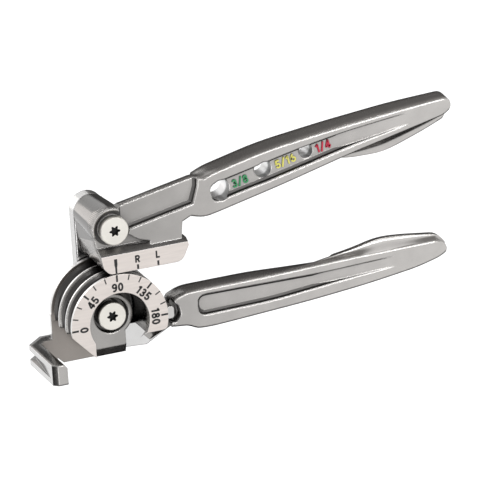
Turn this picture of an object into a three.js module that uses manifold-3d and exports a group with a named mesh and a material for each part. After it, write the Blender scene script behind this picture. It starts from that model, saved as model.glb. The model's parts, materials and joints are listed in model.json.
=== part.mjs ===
// Three-size hand tube bender, in millimetres.
// X runs from the 0 mark to the 180 mark of the dial, Y towards the 90 mark, +Z out of the dial.
// The origin is on the wheel's axis, in the plane of the link's back, on which the tool lies.
import * as THREE from 'three';
import { mergeVertices } from 'three/addons/utils/BufferGeometryUtils.js';
import Module from 'manifold-3d';

const wasm = await Module();
wasm.setup();

// Tubes that the tool bends, from the link side to the dial side
const BEND_RADIUS = 23.81;
const TUBE_SIZES = [9.53, 7.94, 6.35];
const TUBE_PLAY = 0.1;
const RIB_WIDTH = 1.0;
const FLANGE_THICKNESS = 2.1;
const DIAL_RIB = 1.5;

// Running clearances
const RUNNING_GAP = 0.15;
const SIDE_GAP = 0.3;
const SEAT_GAP = 0.05;
const OVERRUN = 2.0;

// Link
const LINK_THICKNESS = 6.8;
const LINK_END_RADIUS = 8.2;
const PIVOT_DISTANCE = 45.7;
const LINK_EDGE_BREAK = 0.5;

// Pivot hardware
const SHOULDER_RADIUS = 4.0;
const THREAD_RADIUS = 3.0;
const HEAD_RADIUS = 6.85;
const HEAD_THICKNESS = 3.6;
const HEAD_EDGE_BREAK = 0.4;
const SOCKET_RADIUS = 2.75;
const SOCKET_LOBE = 0.55;
const SOCKET_DEPTH = 2.2;
const BUSH_WALL = 1.2;
const BUSH_RECESS = 0.2;
const WASHER_THICKNESS = 1.2;
const WASHER_RADIUS = 6.6;
const THRUST_THICKNESS = 0.6;
const THRUST_RADIUS = 7.4;
const NUT_RADIUS = 5.6;
const NUT_THICKNESS = 3.2;
const NUT_FLANGE_RADIUS = 6.4;
const NUT_FLANGE = 1.0;

// Wheel
const HOLLOW_RADIUS = 14.75;
const DIAL_PLATE = 3.0;
const HUB_RADIUS = 10.4;
const REAR_WEB = 6.3;
const FRONT_WEB = 5.6;
const LOWER_SEAT_DEPTH = 3.5;
const EYE_THICKNESS = 6.0;
const TAIL_CUT_START = 3.0;
const TAIL_TIP = [-13.0, -14.5];
const TAIL_INNER_X = -12.6;
const LIMB_END_LEFT = -3.4;
const LIMB_END_RIGHT = -7.4;
const LIMB_CORNER = 3.6;
const BLOCK_LEFT = -9.0;
const BLOCK_RIGHT = 6.3;
const BLOCK_BEVEL_TOP = -15.0;
const BLOCK_BOTTOM = -19.4;
const BLOCK_BEVEL_DEPTH = 1.7;
const FLANGE_BOTTOM = -24.8;
const FLANGE_CHAMFER = 4.6;
const FLANGE_RIGHT = 2.0;

// Hook that holds the tube's straight tail
const HOOK_TOP = -12.5;
const HOOK_HEIGHT = 9.8;
const HOOK_THICKNESS = 6.9;
const HOOK_TUBE_PLAY = 0.6;
const HOOK_FRONT_REACH = 6.2;
const HOOK_BACK_PAD = 5.0;
const HOOK_BACK_CHAMFER = 8.0;
const HOOK_PAD_RIGHT = -14.0;
const HOOK_BEVEL = 2.2;
const HOOK_NOSE_CHAMFER = 1.7;
const HOOK_POCKET_DEPTH = 2.8;
const HOOK_LIP = 2.7;

// Forming handle, with its shoe
const BOSS_RADIUS = 9.6;
const BOSS_BACK_RADIUS = 8.4;
const BOSS_STRAIGHT = 7.0;
const BOSS_FACE_SETBACK = 1.6;
const COUNTERBORE_RADIUS = 8.7;
const SHOE_GAP = 0.5;
const SHOE_TOP = 36.2;
const SHOE_BEVEL = 2.9;
const GRIP_THICKNESS = 14.5;
const GRIP_FACE_SETBACK = 1.5;
const GRIP_BEVEL = 0.9;
const LABEL_WEB = 7.9;
const POCKET_FILLET = 1.6;
const LABEL_RECESS = 3.3;
const LAND_RECESS = 2.8;
const CHANNEL_RECESS = 3.0;
const GAUGE_PLAY = 0.5;
const GAUGE_HOLES = [[54.5, 54.2], [76.5, 59.8], [98.3, 64.5]];
const FINGER_WEB = 4.0;
const FINGER_WEB_SETBACK = 7.5;

// Lower handle
const LOWER_FACE_SETBACK = 3.0;
const LOWER_THICKNESS = 12.0;
const LOWER_CHANNEL_RECESS = 2.6;
const EYE_RADIUS = 10.0;
const NECK_CLEARANCE = 0.5;
const NECK_BOTTOM = -19.0;
const KNUCKLE_END = 36.0;
const KNUCKLE_INNER = 22.0;
const KNUCKLE_STEPS = 8;
const NOSE_X = 26.2;
const NOSE_BOTTOM = -8.4;
const NOTCH_DEPTH = 5.0;
const STUD_GAP = 0.45;
const STUD_LENGTH = 3.1;
const STUD_HALF_HEIGHT = 2.9;
const STUD_DROP = 0.4;
const STUD_SETBACK = 2.0;
const STUD_SHANK_RADIUS = 1.5;
const STUD_SHANK_LENGTH = 3.0;
const LOWER_WEB = 3.0;
const LOWER_WEB_SETBACK = 3.5;

const REACH_SHARE = 0.49;
const CURVE_STEPS = 72;
const ARC_STEPS = 10;

// Levels along the axis, from the back up
const WHEEL_BACK = LINK_THICKNESS + RUNNING_GAP + THRUST_THICKNESS + RUNNING_GAP;
const GROOVES = [];
let level = WHEEL_BACK + FLANGE_THICKNESS;
for (const size of TUBE_SIZES) {
  const radius = (size + TUBE_PLAY) / 2;
  GROOVES.push({ radius, centre: level + radius, low: level, high: level + 2 * radius });
  level += 2 * radius + RIB_WIDTH;
}
const DIAL_FACE = level - RIB_WIDTH + DIAL_RIB;
const FLOOR = WHEEL_BACK + REAR_WEB;
const EYE_LOW = FLOOR + RUNNING_GAP;
const EYE_HIGH = EYE_LOW + EYE_THICKNESS;
const FRONT_WEB_LOW = EYE_HIGH + RUNNING_GAP;
const FRONT_WEB_HIGH = FRONT_WEB_LOW + FRONT_WEB;
const GRIP_FACE = DIAL_FACE - GRIP_FACE_SETBACK;
const GRIP_BACK = GRIP_FACE - GRIP_THICKNESS;
const LOWER_FACE = DIAL_FACE - LOWER_FACE_SETBACK;
const LOWER_BACK = LOWER_FACE - LOWER_THICKNESS;
const BUSH_RADIUS = SHOULDER_RADIUS + BUSH_WALL;

const STEEL = { color: 0xb4b1ac, roughness: 0.32, metalness: 0.9 };
const SCREW_STEEL = { color: 0xe0ddd9, roughness: 0.3, metalness: 0.85 };
const WASHER_STEEL = { color: 0xc9c6c1, roughness: 0.35, metalness: 0.9 };
const BRONZE = { color: 0xa9824f, roughness: 0.45, metalness: 0.8 };

// Turns a closed three.js geometry into a solid that can be joined and cut.
function solid(geometry) {
  const bare = geometry.index ? geometry.toNonIndexed() : geometry.clone();
  bare.deleteAttribute('normal');
  bare.deleteAttribute('uv');
  const merged = mergeVertices(bare, 1e-5);
  const mesh = new wasm.Mesh({
    numProp: 3,
    vertProperties: new Float32Array(merged.attributes.position.array),
    triVerts: new Uint32Array(merged.index.array),
  });
  return new wasm.Manifold(mesh);
}

// Extrudes an outline of [x, y] points from one level to another.
function prism(points, low, high) {
  const shape = new THREE.Shape(points.map(([x, y]) => new THREE.Vector2(x, y)));
  const geometry = new THREE.ExtrudeGeometry(shape, { depth: high - low, bevelEnabled: false });
  geometry.translate(0, 0, low);
  return solid(geometry);
}

// The same, with both rims bevelled inside the outline.
function bevelledPrism(points, low, high, bevel, segments = 1) {
  const shape = new THREE.Shape(points.map(([x, y]) => new THREE.Vector2(x, y)));
  const geometry = new THREE.ExtrudeGeometry(shape, {
    depth: high - low - 2 * bevel,
    bevelEnabled: true,
    bevelThickness: bevel,
    bevelSize: bevel,
    bevelOffset: -bevel,
    bevelSegments: segments,
  });
  geometry.translate(0, 0, low + bevel);
  return solid(geometry);
}

// Moves every side of an outline inwards by the same distance.
function inset(points, distance) {
  const count = points.length;
  return points.map(([x, y, ...rest], i) => {
    const [px, py] = points[(i + count - 1) % count];
    const [nx, ny] = points[(i + 1) % count];
    const first = new THREE.Vector2(x - px, y - py).normalize();
    const second = new THREE.Vector2(nx - x, ny - y).normalize();
    const normal = new THREE.Vector2(-first.y - second.y, first.x + second.x).normalize();
    const reach = distance / Math.max(normal.dot(new THREE.Vector2(-first.y, first.x)), REACH_SHARE);
    return [x + normal.x * reach, y + normal.y * reach, ...rest];
  });
}

// A closed body through anticlockwise outlines of equally many points, given as [points, z] from low to high.
function loft(sections) {
  const count = sections[0][0].length;
  const positions = sections.flatMap(([points, z]) => points.flatMap(([x, y]) => [x, y, z]));
  const index = [];
  for (let s = 0; s + 1 < sections.length; s += 1) {
    for (let i = 0; i < count; i += 1) {
      const j = (i + 1) % count;
      const [a, b, c, d] = [s * count + i, s * count + j, (s + 1) * count + i, (s + 1) * count + j];
      index.push(a, b, d, a, d, c);
    }
  }
  const flat = (points) => points.map(([x, y]) => new THREE.Vector2(x, y));
  const last = (sections.length - 1) * count;
  for (const [a, b, c] of THREE.ShapeUtils.triangulateShape(flat(sections[0][0]), [])) {
    index.push(c, b, a);
  }
  for (const [a, b, c] of THREE.ShapeUtils.triangulateShape(flat(sections[sections.length - 1][0]), [])) {
    index.push(last + a, last + b, last + c);
  }
  const geometry = new THREE.BufferGeometry();
  geometry.setAttribute('position', new THREE.Float32BufferAttribute(positions, 3));
  geometry.setIndex(index);
  return solid(geometry);
}

// A grip whose back and front outlines differ a little, with bevelled rims.
function grip(back, front, low, high, bevel) {
  return loft([
    [rounded(inset(back, bevel)), low],
    [rounded(back), low + bevel],
    [rounded(front), high - bevel],
    [rounded(inset(front, bevel / 3)), high - bevel / 3],
    [rounded(inset(front, bevel)), high],
  ]);
}

// A cutter for a pocket whose walls run into its floor in a fillet.
function pocket(points, floor, fillet) {
  return loft([
    [rounded(inset(points, fillet)), floor],
    [rounded(inset(points, fillet / 3)), floor + fillet / 3],
    [rounded(points), floor + fillet],
    [rounded(points), DIAL_FACE + OVERRUN],
  ]);
}

// Keeps of a pocket cutter what lies above a floor that rises to the face, so that the pocket fades out.
function fading(cutter, floor, face, from, to) {
  return cutter.intersect(
    prismAlongY(
      [
        [-BEND_RADIUS, floor - OVERRUN],
        [from, floor - OVERRUN],
        [from, floor],
        [to, face],
        [to, DIAL_FACE + 2 * OVERRUN],
        [-BEND_RADIUS, DIAL_FACE + 2 * OVERRUN],
      ],
      -2 * BEND_RADIUS,
      4 * BEND_RADIUS,
    ),
  );
}

// Turns a profile of [radius, z] points about the Z axis through (x, y).
function turned(profile, x = 0, y = 0, steps = CURVE_STEPS) {
  const points = profile.map(([r, z]) => new THREE.Vector2(r, z));
  const geometry = new THREE.LatheGeometry(points, steps);
  geometry.rotateX(Math.PI / 2);
  geometry.translate(x, y, 0);
  return solid(geometry);
}

function disc(radius, low, high, x = 0, y = 0, steps = CURVE_STEPS) {
  return turned([[0, low], [radius, low], [radius, high], [0, high]], x, y, steps);
}

function ring(inner, outer, low, high, x = 0, y = 0, steps = CURVE_STEPS) {
  return turned([[inner, low], [outer, low], [outer, high], [inner, high], [inner, low]], x, y, steps);
}

// A round bar along X.
function barAlongX(radius, y, z, from, to) {
  const geometry = new THREE.CylinderGeometry(radius, radius, to - from, 2 * ARC_STEPS + 12);
  geometry.rotateZ(Math.PI / 2);
  geometry.translate((from + to) / 2, y, z);
  return solid(geometry);
}

// An outline extruded along another axis: points are [x, z], and the solid runs along Y.
function prismAlongY(points, low, high) {
  const geometry = new THREE.ExtrudeGeometry(
    new THREE.Shape(points.map(([x, z]) => new THREE.Vector2(x, -z))),
    { depth: high - low, bevelEnabled: false },
  );
  geometry.rotateX(-Math.PI / 2);
  geometry.translate(0, low, 0);
  return solid(geometry);
}

// Points are [y, z], and the solid runs along X.
function prismAlongX(points, low, high) {
  const geometry = new THREE.ExtrudeGeometry(
    new THREE.Shape(points.map(([y, z]) => new THREE.Vector2(-z, y))),
    { depth: high - low, bevelEnabled: false },
  );
  geometry.rotateY(Math.PI / 2);
  geometry.translate(low, 0, 0);
  return solid(geometry);
}

// Rounds the corners of an outline: each corner is [x, y, reach], and its curve starts and ends that far away.
function rounded(corners, steps = 4) {
  const points = [];
  corners.forEach(([x, y, reach = 0], i) => {
    const [px, py] = corners[(i + corners.length - 1) % corners.length];
    const [nx, ny] = corners[(i + 1) % corners.length];
    const before = new THREE.Vector2(px - x, py - y);
    const after = new THREE.Vector2(nx - x, ny - y);
    if (!reach) {
      points.push([x, y]);
      return;
    }
    const run = Math.min(reach, REACH_SHARE * before.length(), REACH_SHARE * after.length());
    const start = new THREE.Vector2(x, y).addScaledVector(before.normalize(), run);
    const end = new THREE.Vector2(x, y).addScaledVector(after.normalize(), run);
    for (let k = 0; k <= steps; k += 1) {
      const t = k / steps;
      points.push([
        (1 - t) ** 2 * start.x + 2 * t * (1 - t) * x + t ** 2 * end.x,
        (1 - t) ** 2 * start.y + 2 * t * (1 - t) * y + t ** 2 * end.y,
      ]);
    }
  });
  return points;
}

function arcPoints(x, y, radius, fromDegrees, toDegrees, steps) {
  const points = [];
  for (let k = 0; k <= steps; k += 1) {
    const angle = THREE.MathUtils.degToRad(fromDegrees + ((toDegrees - fromDegrees) * k) / steps);
    points.push([x + radius * Math.cos(angle), y + radius * Math.sin(angle)]);
  }
  return points;
}

const group = new THREE.Group();

// Adds a finished solid to the model as a named mesh.
function add(name, body, look) {
  const mesh = body.getMesh();
  const geometry = new THREE.BufferGeometry();
  geometry.setAttribute('position', new THREE.BufferAttribute(new Float32Array(mesh.vertProperties), 3));
  geometry.setIndex(new THREE.BufferAttribute(new Uint32Array(mesh.triVerts), 1));
  geometry.computeVertexNormals();
  const part = new THREE.Mesh(geometry, new THREE.MeshStandardMaterial(look));
  part.name = name;
  group.add(part);
}

// The grooved disc: a turned profile whose rim has one half-round groove for each tube.
function groovedDisc() {
  const profile = [[0, WHEEL_BACK], [BEND_RADIUS, WHEEL_BACK]];
  for (const groove of GROOVES) {
    for (let k = 0; k <= ARC_STEPS; k += 1) {
      const angle = -Math.PI / 2 + (Math.PI * k) / ARC_STEPS;
      profile.push([
        BEND_RADIUS - groove.radius * Math.cos(angle),
        groove.centre + groove.radius * Math.sin(angle),
      ]);
    }
  }
  profile.push([BEND_RADIUS, DIAL_FACE], [0, DIAL_FACE]);
  return turned(profile);
}

// What is left of the disc: a C, cut off at 45 degrees below its 0 mark and flat below its 180 mark.
function dialOutline() {
  const far = 2 * BEND_RADIUS;
  const cutX = -Math.sqrt(BEND_RADIUS ** 2 - TAIL_CUT_START ** 2);
  const slope = (TAIL_TIP[1] + TAIL_CUT_START) / (TAIL_TIP[0] - cutX);
  return [
    TAIL_TIP,
    [TAIL_INNER_X, TAIL_TIP[1]],
    [TAIL_INNER_X, LIMB_END_RIGHT],
    ...rounded([[0, LIMB_END_RIGHT], [BEND_RADIUS, LIMB_END_RIGHT, LIMB_CORNER], [BEND_RADIUS, 0]]).slice(0, -1),
    [BEND_RADIUS, 0],
    [far, 0],
    [far, far],
    [-far, far],
    [-far, -TAIL_CUT_START + slope * (-far - cutX)],
  ];
}

// The rest of the wheel's grooves ends above the tail, so that the handle's neck can swing behind the dial.
function neckRoom() {
  const far = 2 * BEND_RADIUS;
  return prism(
    [[-far, -far], [0, -far], [0, LIMB_END_LEFT], [-far, LIMB_END_LEFT]],
    WHEEL_BACK - OVERRUN,
    DIAL_FACE - DIAL_PLATE,
  );
}

function wheelFlange() {
  const left = -BEND_RADIUS - SIDE_GAP;
  return prism(
    [
      [left, 0],
      [left, FLANGE_BOTTOM + FLANGE_CHAMFER],
      [left + FLANGE_CHAMFER, FLANGE_BOTTOM],
      [FLANGE_RIGHT, FLANGE_BOTTOM],
      ...arcPoints(0, 0, BEND_RADIUS, -80, 0, 16),
    ],
    WHEEL_BACK,
    WHEEL_BACK + FLANGE_THICKNESS,
  );
}

// The front web is a hub and a block, joined to the C behind its left limb.
function frontWeb() {
  const block = prism(
    [
      [-HOLLOW_RADIUS - OVERRUN, LIMB_END_LEFT],
      [TAIL_INNER_X, LIMB_END_LEFT],
      [BLOCK_LEFT, BLOCK_BEVEL_TOP],
      [BLOCK_LEFT, BLOCK_BOTTOM],
      [BLOCK_RIGHT, BLOCK_BOTTOM],
      [BLOCK_RIGHT, 0],
      [0, HUB_RADIUS],
      [-HOLLOW_RADIUS - OVERRUN, HUB_RADIUS / 2],
    ],
    FRONT_WEB_LOW,
    FRONT_WEB_HIGH,
  );
  const bevel = prismAlongX(
    [
      [BLOCK_BEVEL_TOP, FRONT_WEB_HIGH],
      [BLOCK_BOTTOM - OVERRUN, FRONT_WEB_HIGH - BLOCK_BEVEL_DEPTH * (1 + OVERRUN / (BLOCK_BEVEL_TOP - BLOCK_BOTTOM))],
      [BLOCK_BOTTOM - OVERRUN, FRONT_WEB_HIGH + OVERRUN],
      [BLOCK_BEVEL_TOP, FRONT_WEB_HIGH + OVERRUN],
    ],
    BLOCK_LEFT - OVERRUN,
    BLOCK_RIGHT + OVERRUN,
  );
  return block.subtract(bevel).add(disc(HUB_RADIUS, FRONT_WEB_LOW, FRONT_WEB_HIGH));
}

// The hook leaves the back of the flange, turns a corner and runs along the axis, past the dial.
function tubeHook() {
  const inner = -BEND_RADIUS - GROOVES[0].radius - HOOK_TUBE_PLAY;
  const outer = inner - HOOK_THICKNESS;
  const back = WHEEL_BACK - HOOK_BACK_PAD;
  const front = DIAL_FACE + HOOK_FRONT_REACH;
  const bottom = HOOK_TOP - HOOK_HEIGHT;
  const arm = prismAlongY(
    [
      [HOOK_PAD_RIGHT, back],
      [outer + HOOK_BACK_CHAMFER, back],
      [outer, back + HOOK_BACK_CHAMFER],
      [outer, front - HOOK_BEVEL],
      [outer + HOOK_BEVEL, front],
      [inner, front],
      [inner, WHEEL_BACK + FLANGE_THICKNESS],
      [HOOK_PAD_RIGHT, WHEEL_BACK + FLANGE_THICKNESS],
    ],
    bottom,
    HOOK_TOP,
  );
  const noseCut = prism(
    [
      [inner - HOOK_NOSE_CHAMFER, HOOK_TOP],
      [inner, HOOK_TOP - HOOK_NOSE_CHAMFER],
      [inner + OVERRUN, HOOK_TOP - HOOK_NOSE_CHAMFER + OVERRUN],
      [inner + OVERRUN, HOOK_TOP + OVERRUN],
      [inner - HOOK_NOSE_CHAMFER, HOOK_TOP + OVERRUN],
    ],
    WHEEL_BACK + FLANGE_THICKNESS + OVERRUN,
    front + OVERRUN,
  );
  const pocket = new THREE.Shape([
    new THREE.Vector2(outer - OVERRUN, -back + OVERRUN),
    new THREE.Vector2(outer + HOOK_POCKET_DEPTH + HOOK_BACK_CHAMFER, -back + OVERRUN),
    new THREE.Vector2(outer + HOOK_POCKET_DEPTH, -back - HOOK_BACK_CHAMFER),
    new THREE.Vector2(outer, -front + 2 * HOOK_BEVEL),
    new THREE.Vector2(outer - OVERRUN, -front + 2 * HOOK_BEVEL),
  ]);
  const pocketGeometry = new THREE.ExtrudeGeometry(pocket, { depth: HOOK_HEIGHT - 2 * HOOK_LIP, bevelEnabled: false });
  pocketGeometry.rotateX(-Math.PI / 2);
  pocketGeometry.translate(0, bottom + HOOK_LIP, 0);
  return arm.subtract(noseCut).subtract(solid(pocketGeometry));
}

function formingWheel() {
  const floorCut = disc(HOLLOW_RADIUS, FLOOR, DIAL_FACE + OVERRUN);
  const rearWeb = disc(BEND_RADIUS - GROOVES[0].radius, WHEEL_BACK, FLOOR);
  const bore = disc(BUSH_RADIUS, WHEEL_BACK - OVERRUN, DIAL_FACE);
  const counterbore = disc(
    HEAD_RADIUS + LABEL_RECESS / 2,
    FRONT_WEB_HIGH - LOWER_SEAT_DEPTH,
    DIAL_FACE,
  );
  return groovedDisc()
    .intersect(prism(dialOutline(), WHEEL_BACK - OVERRUN, DIAL_FACE + OVERRUN))
    .subtract(floorCut)
    .subtract(neckRoom())
    .add(rearWeb)
    .add(wheelFlange())
    .add(frontWeb())
    .add(tubeHook())
    .subtract(counterbore)
    .subtract(bore);
}

// Six rounded lobes, as the drive socket of the pivot screws.
function socketOutline(x, y) {
  const points = [];
  const steps = 36;
  for (let k = 0; k < steps; k += 1) {
    const angle = (2 * Math.PI * k) / steps;
    const radius = SOCKET_RADIUS - SOCKET_LOBE + SOCKET_LOBE * Math.cos(6 * angle);
    points.push([x + radius * Math.cos(angle), y + radius * Math.sin(angle)]);
  }
  return points;
}

// A shoulder screw: its head lies on a washer, its shoulder ends on the link and its thread ends in the nut.
function pivotScrew(headLow, y) {
  const top = headLow + HEAD_THICKNESS;
  const shoulderEnd = LINK_THICKNESS;
  const profile = [
    [0, NUT_THICKNESS / 2],
    [THREAD_RADIUS, NUT_THICKNESS / 2],
    [THREAD_RADIUS, shoulderEnd],
    [SHOULDER_RADIUS, shoulderEnd],
    [SHOULDER_RADIUS, headLow],
    [HEAD_RADIUS, headLow],
    [HEAD_RADIUS, top - HEAD_EDGE_BREAK],
    [HEAD_RADIUS - HEAD_EDGE_BREAK, top],
    [0, top],
  ];
  return turned(profile, 0, y, 48).subtract(prism(socketOutline(0, y), top - SOCKET_DEPTH, top + OVERRUN));
}

// A round nut in the back of the link, with a blind thread.
function lockNut(y) {
  return turned(
    [
      [0, 0],
      [NUT_FLANGE_RADIUS, 0],
      [NUT_FLANGE_RADIUS, NUT_FLANGE],
      [NUT_RADIUS, NUT_FLANGE],
      [NUT_RADIUS, NUT_THICKNESS],
      [THREAD_RADIUS + SEAT_GAP, NUT_THICKNESS],
      [THREAD_RADIUS + SEAT_GAP, NUT_THICKNESS / 2 - SEAT_GAP],
      [0, NUT_THICKNESS / 2 - SEAT_GAP],
    ],
    0,
    y,
    48,
  );
}

function linkPlate() {
  const outline = [
    ...arcPoints(0, PIVOT_DISTANCE, LINK_END_RADIUS, 0, 180, 20),
    ...arcPoints(0, 0, LINK_END_RADIUS, 180, 360, 20),
  ];
  let plate = bevelledPrism(outline, 0, LINK_THICKNESS, LINK_EDGE_BREAK);
  for (const y of [0, PIVOT_DISTANCE]) {
    plate = plate
      .subtract(disc(THREAD_RADIUS + SEAT_GAP, -OVERRUN, LINK_THICKNESS + OVERRUN, 0, y, 48))
      .subtract(disc(NUT_RADIUS + SEAT_GAP, -OVERRUN, NUT_THICKNESS + SEAT_GAP, 0, y, 48))
      .subtract(disc(NUT_FLANGE_RADIUS + SEAT_GAP, -OVERRUN, NUT_FLANGE + SEAT_GAP, 0, y, 48));
  }
  return plate;
}

function bush(low, high, y) {
  return ring(SHOULDER_RADIUS + SEAT_GAP, BUSH_RADIUS - SEAT_GAP, low, high, 0, y, 48);
}

// The bar that presses the tube against the wheel, with a groove for each size in its underside.
function formingShoe() {
  const bottom = BEND_RADIUS + SHOE_GAP;
  const outline = rounded([
    [-3.2, bottom, 2.4],
    [32.6, bottom, 3.0],
    [36.2, 31.5],
    [35.7, SHOE_TOP - 1.2],
    [25.2, SHOE_TOP - 0.4],
    [-7.4, SHOE_TOP],
    [-6.9, 33.5],
    [-5.8, 27.5],
  ]);
  let bar = prism(outline, WHEEL_BACK, DIAL_FACE);
  bar = bar.subtract(
    prismAlongX(
      [
        [SHOE_TOP - SHOE_BEVEL, DIAL_FACE],
        [SHOE_TOP, DIAL_FACE - SHOE_BEVEL],
        [SHOE_TOP + OVERRUN, DIAL_FACE - SHOE_BEVEL],
        [SHOE_TOP + OVERRUN, DIAL_FACE + OVERRUN],
        [SHOE_TOP - SHOE_BEVEL, DIAL_FACE + OVERRUN],
      ],
      -BEND_RADIUS,
      2 * BEND_RADIUS,
    ),
  );
  for (const groove of GROOVES) {
    bar = bar.subtract(barAlongX(groove.radius, BEND_RADIUS, groove.centre, -BEND_RADIUS, 2 * BEND_RADIUS));
  }
  return bar;
}

// The upper grip, seen from the front, anticlockwise from its lower left corner; the back is a little longer.
function gripOutline(lean) {
  return [
    [38.0, 44.6],
    [45.5, 42.6, 5],
    [51.4, 43.6, 6],
    [84.9, 51.1, 10],
    [118.0, 59.4, 8],
    [167.6 + lean, 70.2, 3],
    [171.4 + 2 * lean, 73.0, 3],
    [171.0 + 2 * lean, 77.0 - lean, 2],
    [168.2 + 2 * lean, 78.9 - lean, 2],
    [145.0, 77.0 - lean / 6, 10],
    [111.0, 73.6, 10],
    [78.0, 69.6, 10],
    [50.4, 63.2, 6],
    [44.8, 60.8],
  ];
}

function fingerWebUpper() {
  return rounded([
    [112.0, 62.0],
    [112.5, 57.2, 4],
    [121.6, 55.4, 6],
    [136.7, 55.2, 8],
    [144.0, 56.8, 8],
    [159.8, 62.2, 10],
    [170.0, 66.4, 2.5],
    [171.0, 69.5, 1.5],
    [168.0, 74.0],
  ]);
}

// The round boss tapers towards the link.
function boss() {
  const top = DIAL_FACE - BOSS_FACE_SETBACK;
  const back = WHEEL_BACK - RUNNING_GAP;
  return turned(
    [[0, back], [BOSS_BACK_RADIUS, back], [BOSS_RADIUS, top - BOSS_STRAIGHT], [BOSS_RADIUS, top], [0, top]],
    0,
    PIVOT_DISTANCE,
  );
}

function formingHandle() {
  const leg = prism(
    [[-BOSS_BACK_RADIUS, PIVOT_DISTANCE], [-7.3, SHOE_TOP - OVERRUN], [12.0, SHOE_TOP - OVERRUN], [BOSS_BACK_RADIUS, PIVOT_DISTANCE]],
    WHEEL_BACK,
    DIAL_FACE - BOSS_FACE_SETBACK,
  );
  const web = prism(
    [
      [0, SHOE_TOP - OVERRUN],
      [33.4, SHOE_TOP - OVERRUN],
      [34.4, 42.8],
      [40.0, 45.4],
      [46.0, 46.0],
      [46.0, 61.6],
      [41.4, 62.0],
      [5.4, 55.0],
      [0, 52.0],
    ],
    GRIP_FACE - LABEL_WEB,
    GRIP_FACE,
  );
  const body = grip(gripOutline(1.0), gripOutline(0), GRIP_BACK, GRIP_FACE, GRIP_BEVEL);
  const fingerWeb = prism(
    fingerWebUpper(),
    GRIP_FACE - FINGER_WEB_SETBACK - FINGER_WEB,
    GRIP_FACE - FINGER_WEB_SETBACK,
  );
  const labelFloor = GRIP_FACE - LABEL_RECESS;
  const label = pocket(
    [[4.0, 43.0], [8.6, 44.0], [40.4, 50.2], [43.0, 58.0], [43.8, 70.0], [4.0, 70.0]],
    labelFloor,
    POCKET_FILLET,
  );
  const land = prism(
    [[-2 * BOSS_RADIUS, 30.0], [18.0, 30.0], [18.0, 36.6], [13.5, 37.9], [10.9, 39.3], [7.7, 41.8], [6.0, 46.0], [-2 * BOSS_RADIUS, 40.0]],
    GRIP_FACE - LAND_RECESS,
    DIAL_FACE,
  );
  const channelFloor = GRIP_FACE - CHANNEL_RECESS;
  const channel = fading(
    pocket(
      [
        [50.0, 48.6, 4],
        [84.0, 55.4, 8],
        [120.0, 63.6, 8],
        [156.0, 70.6],
        [156.0, 75.6],
        [115.3, 71.0, 8],
        [94.2, 67.4, 8],
        [48.4, 57.6, 4],
      ],
      channelFloor,
      POCKET_FILLET,
    ),
    channelFloor,
    GRIP_FACE,
    112.0,
    150.0,
  );
  let handle = boss()
    .add(leg)
    .add(web)
    .add(body)
    .add(fingerWeb)
    .subtract(label)
    .subtract(land)
    .subtract(channel)
    .add(formingShoe());
  GAUGE_HOLES.forEach(([x, y], i) => {
    handle = handle.subtract(disc((TUBE_SIZES[i] + GAUGE_PLAY) / 2, 0, DIAL_FACE, x, y, 32));
  });
  const headSeat = DIAL_FACE - BOSS_FACE_SETBACK - LAND_RECESS;
  return handle
    .subtract(disc(COUNTERBORE_RADIUS, headSeat, DIAL_FACE + OVERRUN, 0, PIVOT_DISTANCE, 48))
    .subtract(disc(BUSH_RADIUS, 0, DIAL_FACE, 0, PIVOT_DISTANCE, 48));
}

// The lower grip, anticlockwise from its lower left corner.
function lowerGripOutline(lean) {
  return [
    [NOSE_X, NOSE_BOTTOM, 1.8],
    [34.8, -9.2, 4],
    [39.1, -11.6, 5],
    [46.7, -11.9, 6],
    [67.9, -10.7, 10],
    [96.9, -8.9, 10],
    [126.2, -6.2, 10],
    [150.8, -2.9, 8],
    [162.0, 0.0, 3],
    [166.4, 2.4, 3],
    [165.6, 6.4 - lean / 2, 3],
    [161.2, 9.0 - 1.1 * lean, 3],
    [112.0, 8.6 - lean, 10],
    [90.0, 7.9 - lean / 2, 8],
    [69.0, 7.5, 8],
    [34.6, 7.4, 4],
    [27.4, 4.5, 1.8],
  ];
}

// The pocket in the handle's nose, open towards the wheel, in which the stop stud stands.
function noseNotch() {
  return prism(
    rounded([
      [21.0, -5.4],
      [25.6, -5.4, 0.8],
      [28.6, -6.4, 0.8],
      [31.4, -3.4, 1.6],
      [30.6, 1.4, 1.2],
      [28.8, 2.9, 0.8],
      [27.6, 6.0],
      [21.0, 6.0],
    ]),
    LOWER_FACE - NOTCH_DEPTH,
    DIAL_FACE,
  );
}

const STUD_INNER = BEND_RADIUS + STUD_GAP;
const STUD_SHANK_X = STUD_INNER + STUD_LENGTH - STUD_SHANK_RADIUS / 2;

// The stud against which the 180 side of the wheel stands: a rounded head on a pressed shank.
function stopStud() {
  const reach = STUD_INNER + STUD_LENGTH;
  const outline = rounded([
    [STUD_INNER, -STUD_DROP - STUD_HALF_HEIGHT, 0.6],
    [reach, -STUD_DROP - STUD_HALF_HEIGHT, STUD_HALF_HEIGHT],
    [reach, -STUD_DROP + STUD_HALF_HEIGHT, STUD_HALF_HEIGHT],
    [STUD_INNER, -STUD_DROP + STUD_HALF_HEIGHT, 0.6],
  ]);
  const floor = LOWER_FACE - NOTCH_DEPTH;
  return prism(outline, floor + SEAT_GAP, DIAL_FACE - STUD_SETBACK)
    .add(disc(STUD_SHANK_RADIUS, floor - STUD_SHANK_LENGTH, floor + 2 * SEAT_GAP, STUD_SHANK_X, -STUD_DROP, 32));
}

function fingerWebLower() {
  return rounded([
    [108.0, 5.0],
    [108.5, 9.4, 4],
    [119.9, 11.1, 6],
    [132.8, 14.0, 8],
    [144.4, 13.2, 8],
    [162.9, 10.6, 5],
    [167.0, 5.4, 3],
    [164.0, 3.0],
  ]);
}

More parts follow.
